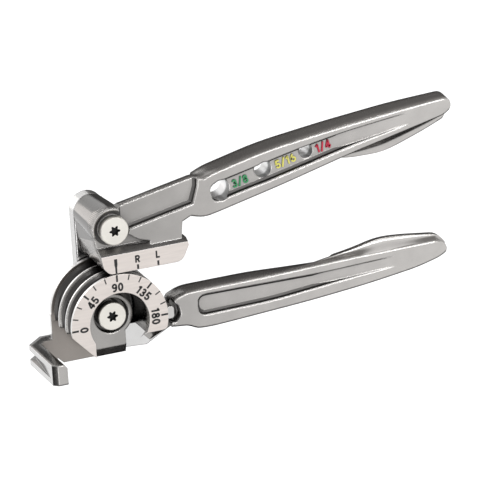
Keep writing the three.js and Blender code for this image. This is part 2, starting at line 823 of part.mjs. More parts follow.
// The neck leaves the eye between the wheel's two webs and passes below the C's right end.
function neck() {
  const top = LIMB_END_RIGHT - NECK_CLEARANCE;
  const outline = [
    [2.0, -8.0],
    [6.6, NECK_BOTTOM],
    [17.8, NECK_BOTTOM - 0.7],
    [31.0, -9.9],
    [KNUCKLE_END, -9.4],
    [KNUCKLE_END, -3.0],
    [BEND_RADIUS + NECK_CLEARANCE + 4.6, -3.0],
    [25.4, top],
    [4.0, top],
    [2.0, -4.0],
  ];
  return prism(outline, EYE_LOW, EYE_HIGH);
}

// The knuckle sweeps from the neck's thin plate up to the handle's nose, clear of the wheel's block.
function knuckle() {
  const top = LIMB_END_RIGHT - NECK_CLEARANCE;
  const inner = arcPoints(0, 0, KNUCKLE_INNER, -22, -48, KNUCKLE_STEPS);
  const foot = [[18.0, NECK_BOTTOM - 0.9], [KNUCKLE_END, -10.2], [KNUCKLE_END, top], [24.6, top], ...inner];
  const nose = [
    [NOSE_X + 0.4, NOSE_BOTTOM],
    [KNUCKLE_END, -9.4],
    [KNUCKLE_END, -6.4],
    [NOSE_X, -6.4],
    ...inner.map((point, i) => [NOSE_X, -6.5 + ((NOSE_BOTTOM + 6.7) * i) / inner.length]),
  ];
  const sections = [[foot, EYE_LOW + SEAT_GAP]];
  const high = LOWER_FACE - GRIP_BEVEL;
  for (let k = 0; k <= KNUCKLE_STEPS; k += 1) {
    const angle = (Math.PI / 2) * (k / KNUCKLE_STEPS);
    const [run, rise] = [Math.sin(angle), 1 - Math.cos(angle)];
    const points = foot.map(([x, y], i) => [x + (nose[i][0] - x) * run, y + (nose[i][1] - y) * run]);
    sections.push([points, EYE_HIGH - SEAT_GAP + (high - EYE_HIGH) * rise]);
  }
  return loft(sections);
}

function lowerHandle() {
  const floor = LOWER_FACE - NOTCH_DEPTH;
  const studBore = disc(
    STUD_SHANK_RADIUS + SEAT_GAP,
    floor - STUD_SHANK_LENGTH - SEAT_GAP,
    floor + OVERRUN,
    STUD_SHANK_X,
    -STUD_DROP,
    32,
  );
  const eye = disc(EYE_RADIUS, EYE_LOW, EYE_HIGH);
  const body = grip(lowerGripOutline(3.2), lowerGripOutline(0), LOWER_BACK, LOWER_FACE, GRIP_BEVEL);
  const root = prism(
    [[30.0, -3.0], [30.0, -8.4], [KNUCKLE_END, -9.4], [KNUCKLE_END + 12.0, -9.4], [KNUCKLE_END + 12.0, 1.0]],
    EYE_LOW,
    LOWER_BACK + 4.0,
  );
  const fingerWeb = prism(
    fingerWebLower(),
    LOWER_FACE - LOWER_WEB_SETBACK - LOWER_WEB,
    LOWER_FACE - LOWER_WEB_SETBACK,
  );
  const channelFloor = LOWER_FACE - LOWER_CHANNEL_RECESS;
  const channel = fading(
    pocket(
      [
        [39.6, -5.6, 4.6],
        [77.8, -5.0, 8],
        [125.5, -0.7, 8],
        [146.0, 0.4],
        [146.0, 5.6],
        [131.6, 4.8, 10],
        [102.4, 3.9, 8],
        [39.6, 4.8, 4.6],
      ],
      channelFloor,
      POCKET_FILLET,
    ),
    channelFloor,
    LOWER_FACE,
    98.0,
    140.0,
  );
  return body
    .add(root)
    .add(fingerWeb)
    .add(neck())
    .add(knuckle())
    .add(eye)
    .subtract(channel)
    .subtract(noseNotch())
    .subtract(studBore)
    .subtract(disc(BUSH_RADIUS, EYE_LOW - OVERRUN, EYE_HIGH + OVERRUN, 0, 0, 48));
}

// The lower pivot, from the back to the front
const lowerSeat = FRONT_WEB_HIGH - LOWER_SEAT_DEPTH;
add('link_plate', linkPlate(), STEEL);
add('lower_lock_nut', lockNut(0), WASHER_STEEL);
add('lower_thrust_washer', ring(
  SHOULDER_RADIUS + SEAT_GAP,
  THRUST_RADIUS,
  LINK_THICKNESS + RUNNING_GAP,
  WHEEL_BACK - RUNNING_GAP,
  0,
  0,
  48,
), BRONZE);
add('forming_wheel', formingWheel(), STEEL);
add('wheel_rear_bush', bush(WHEEL_BACK + BUSH_RECESS, FLOOR - BUSH_RECESS, 0), BRONZE);
add('handle_eye_bush', bush(EYE_LOW + BUSH_RECESS, EYE_HIGH - BUSH_RECESS, 0), BRONZE);
add('wheel_front_bush', bush(FRONT_WEB_LOW + BUSH_RECESS, lowerSeat - BUSH_RECESS, 0), BRONZE);
add('lower_head_washer', ring(
  SHOULDER_RADIUS + SEAT_GAP,
  WASHER_RADIUS,
  lowerSeat + RUNNING_GAP,
  lowerSeat + RUNNING_GAP + WASHER_THICKNESS,
  0,
  0,
  48,
), WASHER_STEEL);
add('lower_pivot_screw', pivotScrew(lowerSeat + 2 * RUNNING_GAP + WASHER_THICKNESS, 0), SCREW_STEEL);
add('lower_handle', lowerHandle(), STEEL);
add('stop_stud', stopStud(), WASHER_STEEL);

// The upper pivot
const upperSeat = DIAL_FACE - BOSS_FACE_SETBACK - LAND_RECESS;
add('upper_lock_nut', lockNut(PIVOT_DISTANCE), WASHER_STEEL);
add('upper_thrust_washer', ring(
  SHOULDER_RADIUS + SEAT_GAP,
  THRUST_RADIUS,
  LINK_THICKNESS + RUNNING_GAP,
  WHEEL_BACK - 2 * RUNNING_GAP,
  0,
  PIVOT_DISTANCE,
  48,
), BRONZE);
add('forming_handle', formingHandle(), STEEL);
const bossMiddle = (WHEEL_BACK + upperSeat) / 2;
add('boss_rear_bush', bush(WHEEL_BACK + BUSH_RECESS, bossMiddle - SIDE_GAP, PIVOT_DISTANCE), BRONZE);
add('boss_front_bush', bush(bossMiddle + SIDE_GAP, upperSeat - BUSH_RECESS, PIVOT_DISTANCE), BRONZE);
add('upper_head_washer', ring(
  SHOULDER_RADIUS + SEAT_GAP,
  WASHER_RADIUS,
  upperSeat + RUNNING_GAP,
  upperSeat + RUNNING_GAP + WASHER_THICKNESS,
  0,
  PIVOT_DISTANCE,
  48,
), WASHER_STEEL);
add('upper_wave_washer', ring(
  SHOULDER_RADIUS + SEAT_GAP,
  WASHER_RADIUS - HEAD_EDGE_BREAK,
  upperSeat + 2 * RUNNING_GAP + WASHER_THICKNESS,
  upperSeat + 2 * RUNNING_GAP + 2 * WASHER_THICKNESS,
  0,
  PIVOT_DISTANCE,
  48,
), WASHER_STEEL);
add('upper_pivot_screw', pivotScrew(upperSeat + 3 * RUNNING_GAP + 2 * WASHER_THICKNESS, PIVOT_DISTANCE), SCREW_STEEL);

export default group;
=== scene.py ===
"""Looks of the three-size hand tube bender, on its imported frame.

X runs from the dial's 0 mark to its 180 mark, Y to its 90 mark, and Z out of the dial. The tool's places
and sizes are in millimetres. Those of the studio are in metres.
"""

import json
import math

import bpy
from mathutils import Matrix, Vector


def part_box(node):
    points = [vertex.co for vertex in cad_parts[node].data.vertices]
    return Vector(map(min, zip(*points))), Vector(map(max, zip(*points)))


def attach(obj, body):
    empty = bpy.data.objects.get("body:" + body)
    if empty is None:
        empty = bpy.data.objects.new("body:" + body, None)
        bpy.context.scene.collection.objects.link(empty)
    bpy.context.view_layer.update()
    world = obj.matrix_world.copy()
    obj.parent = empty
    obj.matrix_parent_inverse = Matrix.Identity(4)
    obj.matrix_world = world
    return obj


MM = 0.001
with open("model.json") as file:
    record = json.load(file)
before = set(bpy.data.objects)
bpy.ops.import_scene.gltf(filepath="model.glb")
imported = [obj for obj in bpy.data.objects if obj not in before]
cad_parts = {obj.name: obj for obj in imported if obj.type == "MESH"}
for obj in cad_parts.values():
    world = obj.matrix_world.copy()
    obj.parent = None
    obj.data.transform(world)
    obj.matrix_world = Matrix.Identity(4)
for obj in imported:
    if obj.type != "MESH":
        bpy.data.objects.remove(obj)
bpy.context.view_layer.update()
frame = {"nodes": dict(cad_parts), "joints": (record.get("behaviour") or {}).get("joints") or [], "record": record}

LOWER_BODY = "lower_handle_body"
WHEEL_BODY = "wheel_body"
SHOE_BODY = "forming_handle_body"

# Pivots and rim, and the levels of faces, floors and webs. The shoe's ground face is flush with the dial
JOINTS = {joint["name"]: joint for joint in frame["joints"]}
PIVOTS = {
    "lower_pivot_screw": (0.0, 0.0),
    "upper_pivot_screw": tuple(place / MM for place in JOINTS["forming_swing"]["pos_m"][:2]),
}
RIM_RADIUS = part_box("forming_wheel")[1].x / MM
DIAL_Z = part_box("forming_handle")[1].z / MM
GRIP_Z = DIAL_Z - 1.5
CHANNEL_Z = GRIP_Z - 3.0
LABEL_Z = GRIP_Z - 3.3
UPPER_WEB_Z = GRIP_Z - 7.5
LOWER_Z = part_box("lower_handle")[1].z / MM
LOWER_CHANNEL_Z = LOWER_Z - 2.6
LOWER_WEB_Z = LOWER_Z - 3.5

# The camera that was fitted to the photo: turns about Z, X and Y, then a shift, for a square frame
CAMERA_TURNS = (0.0662, 0.3483, 0.3556)
CAMERA_SHIFT = (-55.1607, -38.3274, -2763.5232)
FOCAL_PIXELS = 6000.0
FRAME_PIXELS = 480.0
SENSOR_MM = 36.0


# Nodes of a material


def new_material(name):
    material = bpy.data.materials.new(name)
    material.use_nodes = True
    tree = material.node_tree
    tree.nodes.clear()
    output = tree.nodes.new("ShaderNodeOutputMaterial")
    return material, tree, output


def node(tree, kind, **settings):
    made = tree.nodes.new(kind)
    for key, value in settings.items():
        setattr(made, key, value)
    return made


def link(tree, source, target):
    tree.links.new(source, target)


def object_point(tree, stretch=(1, 1, 1)):
    """A texture position that stays with the piece."""
    coordinates = node(tree, "ShaderNodeTexCoord")
    mapping = node(tree, "ShaderNodeMapping")
    mapping.inputs["Scale"].default_value = stretch
    link(tree, coordinates.outputs["Object"], mapping.inputs["Vector"])
    return mapping.outputs["Vector"]


def object_place(tree, axis):
    """How far a point lies along one of the piece's own axes, in metres."""
    coordinates = node(tree, "ShaderNodeTexCoord")
    parts = node(tree, "ShaderNodeSeparateXYZ")
    link(tree, coordinates.outputs["Object"], parts.inputs["Vector"])
    return parts.outputs[axis]


def noise(tree, point, scale, detail=3.0, roughness=0.55):
    texture = node(tree, "ShaderNodeTexNoise")
    texture.inputs["Scale"].default_value = scale
    texture.inputs["Detail"].default_value = detail
    texture.inputs["Roughness"].default_value = roughness
    link(tree, point, texture.inputs["Vector"])
    return texture.outputs["Fac"]


def remap(tree, value, old, new):
    """Stretches the range old to the range new."""
    ranged = node(tree, "ShaderNodeMapRange")
    for socket, limit in zip(("From Min", "From Max", "To Min", "To Max"), (*old, *new)):
        ranged.inputs[socket].default_value = limit
    link(tree, value, ranged.inputs["Value"])
    return ranged.outputs["Result"]


def math_node(tree, operation, first, second=0.0):
    made = node(tree, "ShaderNodeMath", operation=operation)
    for socket, value in zip(made.inputs, (first, second)):
        if isinstance(value, (int, float)):
            socket.default_value = value
        else:
            link(tree, value, socket)
    return made.outputs["Value"]


# Metals and paints

UNIT = (0.0, 1.0)
NOISE_RANGE = (0.3, 0.7)
COARSE_GRAIN = 90.0
FINE_GRAIN = 1400.0
PAINT_GRAIN = 900.0
MOTTLE = 0.05
BUMP_STRENGTH = 0.35
EDGE_POLISH = 0.08
PAINT_SPREAD = 0.08
BEVEL_SAMPLES = 8
WIDE_BEVEL_SAMPLES = 12
OCCLUSION_SAMPLES = 8

# How far a normal leans where an edge gets its wear and painted highlight, and where a side face counts as a front
# face
WEAR_AND_HIGHLIGHT_LEAN = (0.99, 0.8)
FRONT_LEAN = (0.3, 0.85)

# How open a hollow is, and how dark the painted shade in it gets
RECESS_OPENNESS = (0.2, 0.8)
RECESS_TONES = (0.12, 1.0)

# Painted light and shade on the casting: its tone by the distance, along X, from where it stays darkest
DARKEST_X = 5.0
NEAR_REACH = 45.0
FAR_REACH = 165.0
NEAR_TONES = (0.74, 0.98)
FAR_EXTRA = (0.0, 0.2)

# Painted shade on the gauge bores in front of this step, as deep as the web of a real channel
BORE_STEP = (28.2, 29.6)
BORE_TONES = (1.0, 0.36)


def soft_normal(tree, radius, samples=BEVEL_SAMPLES):
    """The surface's normal, rounded over its edges by radius."""
    bevel = node(tree, "ShaderNodeBevel", samples=samples)
    bevel.inputs["Radius"].default_value = radius * MM
    return bevel.outputs["Normal"]


def edge_mask(tree, rounded_normal):
    """Close to 1 on edges, whose colour shows wear from hands and tubes and a painted highlight."""
    geometry = node(tree, "ShaderNodeNewGeometry")
    dot = node(tree, "ShaderNodeVectorMath", operation="DOT_PRODUCT")
    link(tree, rounded_normal, dot.inputs[0])
    link(tree, geometry.outputs["True Normal"], dot.inputs[1])
    return remap(tree, dot.outputs["Value"], WEAR_AND_HIGHLIGHT_LEAN, UNIT)


def crowned_normal(tree, crisp, radius):
    """Side faces are crowned over radius. Faces towards the front or back keep their crisp edges.

    Sockets 4, 5 and 1 of the mix are its vector ones.
    """
    geometry = node(tree, "ShaderNodeNewGeometry")
    parts = node(tree, "ShaderNodeSeparateXYZ")
    link(tree, geometry.outputs["True Normal"], parts.inputs["Vector"])
    facing = math_node(tree, "ABSOLUTE", parts.outputs["Z"])
    mixed = node(tree, "ShaderNodeMix", data_type="VECTOR")
    link(tree, remap(tree, facing, FRONT_LEAN, UNIT), mixed.inputs["Factor"])
    link(tree, soft_normal(tree, radius, WIDE_BEVEL_SAMPLES), mixed.inputs[4])
    link(tree, crisp, mixed.inputs[5])
    return mixed.outputs[1]


def recess_shade(tree, reach):
    """Painted shade: 1 in the open and darker deep in a recess."""
    occlusion = node(tree, "ShaderNodeAmbientOcclusion", samples=OCCLUSION_SAMPLES)
    occlusion.inputs["Distance"].default_value = reach * MM
    return remap(tree, occlusion.outputs["AO"], RECESS_OPENNESS, RECESS_TONES)


def handled_shade(tree):
    """Painted shade round the pivots, and painted light towards hook and grips."""
    centred = math_node(tree, "SUBTRACT", object_place(tree, "X"), DARKEST_X * MM)
    away = math_node(tree, "ABSOLUTE", centred)
    near = remap(tree, away, (0.0, NEAR_REACH * MM), NEAR_TONES)
    far = remap(tree, away, (NEAR_REACH * MM, FAR_REACH * MM), FAR_EXTRA)
    return math_node(tree, "ADD", near, far)


def bore_shade(tree):
    """Painted shade in front of the step, and none behind it."""
    return remap(tree, object_place(tree, "Z"), [z * MM for z in BORE_STEP], BORE_TONES)


def scaled_colour(tree, colour, factor):
    made = node(tree, "ShaderNodeVectorMath", operation="SCALE")
    link(tree, colour, made.inputs["Vector"])
    link(tree, factor, made.inputs["Scale"])
    return made.outputs["Vector"]


def mottled_colour(tree, base, wear_and_highlight, coarse, edges):
    """The base colour with a light mottle, and the colour of wear and painted highlight on its edges."""
    mottled = node(tree, "ShaderNodeMix", data_type="RGBA")
    mottled.inputs["A"].default_value = (*[c * (1 - MOTTLE) for c in base], 1.0)
    mottled.inputs["B"].default_value = (*[min(1.0, c * (1 + MOTTLE)) for c in base], 1.0)
    link(tree, remap(tree, coarse, NOISE_RANGE, UNIT), mottled.inputs["Factor"])
    wear_and_highlight_mix = node(tree, "ShaderNodeMix", data_type="RGBA")
    wear_and_highlight_mix.inputs["B"].default_value = (*wear_and_highlight, 1.0)
    link(tree, mottled.outputs["Result"], wear_and_highlight_mix.inputs["A"])
    link(tree, edges, wear_and_highlight_mix.inputs["Factor"])
    return wear_and_highlight_mix.outputs["Result"]


def bumped_normal(tree, fine, normal, height):
    bump = node(tree, "ShaderNodeBump")
    bump.inputs["Strength"].default_value = BUMP_STRENGTH
    bump.inputs["Distance"].default_value = height * MM
    link(tree, fine, bump.inputs["Height"])
    link(tree, normal, bump.inputs["Normal"])
    return bump.outputs["Normal"]


def metal(
    name, base, wear_and_highlight, roughness, spread=0.05, edge=0.3, bump=0.01, stretch=(1, 1, 1),
    crown=0.0, soften=0.0, recess=0.0, shade=None,
):
    """Metal with a fine grain, uneven roughness, and edges with wear and a painted highlight. Lengths are in
    millimetres.

    base and wear_and_highlight are the colours of its faces and of its edges, which show wear and a painted
    highlight.
    edge is how wide that edge band is, bump how high the grain stands, and crown and soften how widely side faces
    and edges are rounded.
    recess is the reach of the painted shade in hollows, and shade scales the colour by place, as painted light and
    shade.
    """
    material, tree, output = new_material(name)
    shader = node(tree, "ShaderNodeBsdfPrincipled")
    shader.inputs["Metallic"].default_value = 1.0
    link(tree, shader.outputs["BSDF"], output.inputs["Surface"])
    point = object_point(tree, stretch)
    coarse = noise(tree, point, COARSE_GRAIN)
    fine = noise(tree, point, FINE_GRAIN, detail=2.0, roughness=0.6)
    normal = soft_normal(tree, edge)
    edges = edge_mask(tree, normal)

    colour = mottled_colour(tree, base, wear_and_highlight, coarse, edges)
    if recess:
        colour = scaled_colour(tree, colour, recess_shade(tree, recess))
    if shade:
        colour = scaled_colour(tree, colour, shade(tree))
    link(tree, colour, shader.inputs["Base Color"])

    uneven = remap(tree, coarse, NOISE_RANGE, (roughness - spread, roughness + spread))
    polish = math_node(tree, "MULTIPLY", edges, EDGE_POLISH)
    link(tree, math_node(tree, "SUBTRACT", uneven, polish), shader.inputs["Roughness"])

    if soften:
        normal = soft_normal(tree, soften, WIDE_BEVEL_SAMPLES)
    if crown:
        normal = crowned_normal(tree, normal, crown)
    link(tree, bumped_normal(tree, fine, normal, bump), shader.inputs["Normal"])
    return material


def paint(name, colour, roughness=0.5):
    """Filled or printed marks: a matt paint with a little grain."""
    material, tree, output = new_material(name)
    shader = node(tree, "ShaderNodeBsdfPrincipled")
    shader.inputs["Base Color"].default_value = (*colour, 1.0)
    link(tree, shader.outputs["BSDF"], output.inputs["Surface"])
    fine = noise(tree, object_point(tree), PAINT_GRAIN)
    uneven = remap(tree, fine, NOISE_RANGE, (roughness - PAINT_SPREAD, roughness + PAINT_SPREAD))
    link(tree, uneven, shader.inputs["Roughness"])
    return material


CAST_GREY = (0.475, 0.46, 0.445)
CAST_WEAR_AND_HIGHLIGHT = (0.80, 0.79, 0.78)
# The casting gets painted shade in its hollows, and painted light and shade along X
CAST = metal(
    "cast_steel", CAST_GREY, CAST_WEAR_AND_HIGHLIGHT, 0.2, spread=0.03, edge=0.45,
    crown=7.0, soften=1.4, recess=12.0, shade=handled_shade,
)
BLEND = metal("blend_steel", CAST_GREY, CAST_WEAR_AND_HIGHLIGHT, 0.24, spread=0.03, recess=12.0, shade=handled_shade)
GROUND = metal("ground_face", (0.72, 0.665, 0.63), (0.85, 0.82, 0.80), 0.42, stretch=(1, 14, 1))
FORGED_AND_HIGHLIGHT = metal("forged_steel", (0.69, 0.685, 0.68), (0.84, 0.84, 0.84), 0.22, edge=0.5)
SCREW = metal("screw_steel", (0.80, 0.775, 0.72), (0.90, 0.88, 0.85), 0.38, spread=0.04, edge=0.2, recess=4.0)
FASTENER = metal("fastener_steel", (0.60, 0.59, 0.575), (0.80, 0.79, 0.78), 0.3, edge=0.2)
BRONZE = metal("bearing_bronze", (0.45, 0.30, 0.15), (0.65, 0.48, 0.28), 0.42, spread=0.06, edge=0.2)
# Painted shade: near black on the walls of the label field and channels, and in the counterbore
WALL_SHADE = metal("painted_shade_walls", (0.085, 0.082, 0.08), (0.62, 0.61, 0.60), 0.4, edge=0.4)
SHADED = metal("casting_shaded", (0.19, 0.184, 0.178), (0.66, 0.65, 0.64), 0.24, crown=3.0)
# Painted shade: near black in the tube grooves
GROOVE_SHADE = metal("groove_painted_shade", (0.055, 0.053, 0.052), (0.60, 0.59, 0.58), 0.3)
# Painted highlight: near white on the rib crests and rims
RIB_HIGHLIGHT = metal("rib_painted_highlight", (0.88, 0.87, 0.86), (0.92, 0.91, 0.90), 0.3, spread=0.04, edge=0.2)
# Painted shade: the flange's front faces darker than the casting
FLANGE_SHADE = metal("flange_painted_shade", (0.30, 0.275, 0.255), (0.60, 0.58, 0.56), 0.3, edge=0.4, recess=12.0)
# Painted shade: a darker copy of the casting on the sides of boss and leg
BOSS_SHADE = metal("boss_painted_shade", (0.20, 0.195, 0.19), (0.72, 0.71, 0.70), 0.13, spread=0.03, edge=0.5, recess=12.0)
# Painted light: the bores' near-white colour, with painted shade at their front
BORE_LIGHT_AND_SHADE = metal(
    "gauge_bore_painted_light_and_shade", (0.98, 0.98, 0.98), (0.98, 0.98, 0.98), 0.42,
    spread=0.03, edge=0.1, bump=0.005, shade=bore_shade,
)
BLACK = paint("black_fill", (0.012, 0.012, 0.013))
# Painted shade: near black in the screws' drive sockets
SOCKET_SHADE = paint("socket_painted_shade", (0.008, 0.008, 0.008), 0.75)
GREEN = paint("green_fill", (0.05, 0.33, 0.13))
YELLOW = paint("yellow_fill", (0.85, 0.80, 0.18))
RED = paint("red_fill", (0.62, 0.03, 0.07))

SLOT_MATERIALS = {
    "cast_steel": CAST,
    "forged_steel": FORGED_AND_HIGHLIGHT,
    "screw_steel": SCREW,
    "fastener_steel": FASTENER,
    "bearing_bronze": BRONZE,
}


# Regions of the CAD nodes with a finish, painted shade or painted highlight of their own. Each test takes a
# polygon's centre and normal

# Outlines round the walls of the label field and of the two channels
LABEL_WALLS = [(2.0, 40.5), (8.0, 41.5), (42.0, 48.0), (44.8, 58.0), (44.8, 61.5), (4.0, 52.0)]
UPPER_WALLS = [
    (48.0, 46.5), (84.0, 53.4), (121.0, 61.6), (158.0, 69.0),
    (158.0, 76.0), (115.0, 72.9), (94.0, 69.3), (46.5, 59.6),
]
LOWER_WALLS = [
    (37.0, -7.6), (78.0, -7.0), (126.0, -2.8), (150.0, -1.5),
    (150.0, 7.0), (102.0, 6.2), (37.0, 6.5),
]

# Each gauge hole's centre and radius
GAUGE_HOLES = [(54.5, 54.2, 5.02), (76.5, 59.8, 4.22), (98.3, 64.5, 3.43)]

SOCKET_RADIUS = 2.8
SOCKET_DEPTH = 2.3
GROOVE_RADII = (17.0, 23.5)
GROOVE_Z = (10.2, 35.6)
RIB_RADII = (23.5, 30.0)
WHEEL_LEFT = -16.0
GROOVE_BOTTOM = -7.0
RIB_BOTTOM = -9.0
HOOK_TOP = -11.0
HOOK_SIDE = -30.0
FLANGE_TOP = 12.0
NECK_END = 30.0
NECK_TOP = 24.0
BOSS_REACH = 9.8
LEG_TOP = 36.5
BEVEL_Y = (32.0, 37.0)
BEVEL_BACK = 33.0
COUNTERBORE_RADIUS = 8.75
COUNTERBORE_BACK = 32.5
HAIR = 0.02

# A normal's z on faces towards the front, and the most that it has on side faces
FLAT = 0.97
SIDE = 0.3


def from_axis(centre, x=0.0, y=0.0):
    """The distance of a place from an axis along Z."""
    return math.hypot(centre.x - x, centre.y - y)


def inside(x, y, outline):
    """Whether a point lies within an outline."""
    crossings = 0
    for (x0, y0), (x1, y1) in zip(outline, outline[1:] + outline[:1]):
        if (y0 > y) != (y1 > y) and x < x0 + (y - y0) * (x1 - x0) / (y1 - y0):
            crossings += 1
    return crossings % 2 == 1


def recess_walls(outline, floor, face):
    """A test for the walls and fillets of a recess, but neither its floor nor the face round it."""

    def chosen(centre, normal):
        sloped = 0.02 < normal.z < 0.93 and floor - HAIR < centre.z < face - HAIR
        return sloped and inside(centre.x, centre.y, outline)

    return chosen


def drive_socket(screw):
    """A test for the socket of a screw, which is painted near black as painted shade."""
    x, y = PIVOTS[screw]
    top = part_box(screw)[1].z / MM

    def chosen(centre, normal):
        return from_axis(centre, x, y) < SOCKET_RADIUS and top - SOCKET_DEPTH < centre.z < top - HAIR / 2

    return chosen


def on_ground_face(centre, normal):
    """The dial and the shoe's front."""
    return normal.z > 0.99 and abs(centre.z - DIAL_Z) < 0.2


# Painted shade on the flange's front faces
def on_flange(centre, normal):
    return normal.z > FLAT and centre.z < FLANGE_TOP


def in_groove(centre, normal):
    """The tube grooves round the wheel, which get painted shade."""
    outward = normal.x * centre.x + normal.y * centre.y > 0
    round_wheel = centre.y > GROOVE_BOTTOM or centre.x < WHEEL_LEFT
    between = GROOVE_RADII[0] < from_axis(centre) < GROOVE_RADII[1] and GROOVE_Z[0] < centre.z < GROOVE_Z[1]
    return between and outward and round_wheel and abs(normal.z) < FLAT


def on_rib(centre, normal):
    """The crests between the grooves and the rims of dial and flange, which get a painted highlight."""
    return RIB_RADII[0] < from_axis(centre) < RIB_RADII[1] and centre.y > RIB_BOTTOM and abs(normal.z) < SIDE


def on_hook_top(centre, normal):
    """The hook's upward face and its front chamfer."""
    if centre.x > WHEEL_LEFT or centre.y > HOOK_TOP:
        return False
    return (normal.y > 0.25 and normal.z < 0.9) or (normal.x < -0.6 and normal.z > 0.6)


# The hook's left side, which gets the brighter forged steel as a painted highlight
def on_hook_side(centre, normal):
    return normal.x < -0.9 and centre.x < HOOK_SIDE


def in_gauge_hole(centre, normal):
    """The bores through the grip."""
    return abs(normal.z) < 0.1 and any(from_axis(centre, x, y) < radius + 0.1 for x, y, radius in GAUGE_HOLES)


def on_boss(centre, normal):
    """The round side of the boss and the leg's side below it, which get painted shade."""
    side = abs(normal.z) < SIDE and centre.z < CHANNEL_Z
    return side and centre.x < BOSS_REACH and centre.y > LEG_TOP


def on_shoe_bevel(centre, normal):
    """The bevel over the shoe's ground face."""
    tilted = 0.5 < normal.y and 0.5 < normal.z < 0.9
    return tilted and BEVEL_Y[0] < centre.y < BEVEL_Y[1] and centre.z > BEVEL_BACK


def in_counterbore(centre, normal):
    """The wall and floor of the seat round the upper screw's head, which get painted shade."""
    x, y = PIVOTS["upper_pivot_screw"]
    return from_axis(centre, x, y) < COUNTERBORE_RADIUS and centre.z > COUNTERBORE_BACK


def on_neck(centre, normal):
    """The front of the lower handle's neck, between the wheel's webs, which gets the brighter forged steel as a
    painted highlight.
    """
    return normal.z > FLAT and centre.x < NECK_END and centre.z < NECK_TOP


# In this order: a later finish covers an earlier one
FINISHES = [
    ("forming_wheel", GROUND, on_ground_face),
    ("forming_handle", GROUND, on_ground_face),
    ("lower_pivot_screw", SOCKET_SHADE, drive_socket("lower_pivot_screw")),
    ("upper_pivot_screw", SOCKET_SHADE, drive_socket("upper_pivot_screw")),
    ("forming_handle", WALL_SHADE, recess_walls(LABEL_WALLS, LABEL_Z, GRIP_Z)),
    ("forming_handle", WALL_SHADE, recess_walls(UPPER_WALLS, CHANNEL_Z, GRIP_Z)),
    ("lower_handle", WALL_SHADE, recess_walls(LOWER_WALLS, LOWER_CHANNEL_Z, LOWER_Z)),
    ("forming_wheel", FLANGE_SHADE, on_flange),
    ("forming_wheel", GROOVE_SHADE, in_groove),
    ("forming_wheel", RIB_HIGHLIGHT, on_rib),
    ("forming_wheel", SHADED, on_hook_top),
    ("forming_handle", BORE_LIGHT_AND_SHADE, in_gauge_hole),
    ("forming_handle", BOSS_SHADE, on_boss),
    ("forming_handle", SHADED, on_shoe_bevel),
    ("forming_handle", WALL_SHADE, in_counterbore),
    ("forming_wheel", FORGED_AND_HIGHLIGHT, on_hook_side),
    ("lower_handle", FORGED_AND_HIGHLIGHT, on_neck),
]


def refinish(name, material, chosen):
    """Gives the chosen polygons of a node another material."""
    mesh = frame["nodes"][name].data
    if material.name not in [m.name for m in mesh.materials]:
        mesh.materials.append(material)
    index = [m.name for m in mesh.materials].index(material.name)
    for polygon in mesh.polygons:
        if chosen(polygon.center / MM, polygon.normal):
            polygon.material_index = index


def dress_nodes():
    """Gives each CAD node the material of its slot, and its regions their finishes, painted shade and painted
    highlights.
    """
    for part in frame["record"]["subparts"]:
        mesh = frame["nodes"][part["node"]].data
        mesh.materials.clear()
        mesh.materials.append(SLOT_MATERIALS[part["material_slot"]])
        for polygon in mesh.polygons:
            polygon.material_index = 0
    for name, material, chosen in FINISHES:
        refinish(name, material, chosen)


dress_nodes()


# Marks

# How far a mark reaches into its face and stands above it
MARK_SUNK = 0.1
LINE_HEIGHT = 0.02
LETTER_HEIGHT = 0.04
RAISED_HEIGHT = 0.25

DIAL_SPAN = 180
TICK_STEP = 15
NUMBER_STEP = 45
TICK_END = RIM_RADIUS - 0.15
TICK_START = 20.9
TICK_HALF = 0.3
LONG_TICK_START = 20.3
LONG_TICK_HALF = 0.46
NUMBER_RADIUS = 17.6
NUMBER_SIZE = 4.0

ZERO_MARK = [
    (-0.45, 24.4), (0.45, 24.4), (0.5, 27.4), (0.78, 28.6),
    (0.78, 31.4), (-0.74, 31.4), (-0.74, 28.6), (-0.5, 27.4),
]
SHOE_LETTERS = {"R": (10.7, 29.6), "L": (20.7, 30.0)}
SHOE_LETTER_SIZE = 3.5
SHOE_TICK_Y = (24.6, 26.9)
SHOE_TICK_HALF = 0.5

TUBE_SIZES = [
    ("three_eighths", "3/8", (64.9, 56.0), GREEN),
    ("five_sixteenths", "5/16", (87.9, 61.6), YELLOW),
    ("quarter", "1/4", (107.0, 65.3), RED),
]
TUBE_SIZE_Z = CHANNEL_Z + 0.2
TUBE_SIZE_HEIGHT = 4.1
TUBE_SIZE_WEIGHT = 0.18
TUBE_SIZE_SLOPE = math.radians(13.0)


def closed_piece(name, vertices, faces, material):
    """A piece with a closed mesh, from places in millimetres."""
    mesh = bpy.data.meshes.new(name)
    mesh.from_pydata([(x * MM, y * MM, z * MM) for x, y, z in vertices], [], faces)
    mesh.materials.append(material)
    piece = bpy.data.objects.new(name, mesh)
    bpy.context.scene.collection.objects.link(piece)
    return piece


def line_mark(name, outline, body):
    """A thin black plate with the given outline, on the dial or the shoe."""
    count = len(outline)
    levels = (DIAL_Z - MARK_SUNK, DIAL_Z + LINE_HEIGHT)
    vertices = [(x, y, z) for z in levels for x, y in outline]
    faces = [tuple(range(count))[::-1], tuple(range(count, 2 * count))]
    for i in range(count):
        j = (i + 1) % count
        faces.append((i, j, count + j, count + i))
    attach(closed_piece(name, vertices, faces, BLACK), body)


def arc(x, y, wide, high, start, end, steps=12):
    """Points on an elliptic arc, its angles in degrees."""
    angles = [math.radians(start + (end - start) * i / steps) for i in range(steps + 1)]
    return [(x + wide * math.cos(a), y + high * math.sin(a)) for a in angles]


def oval(x, y, wide, high):
    return arc(x, y, wide, high, 0.0, 360.0, 20)[:-1]


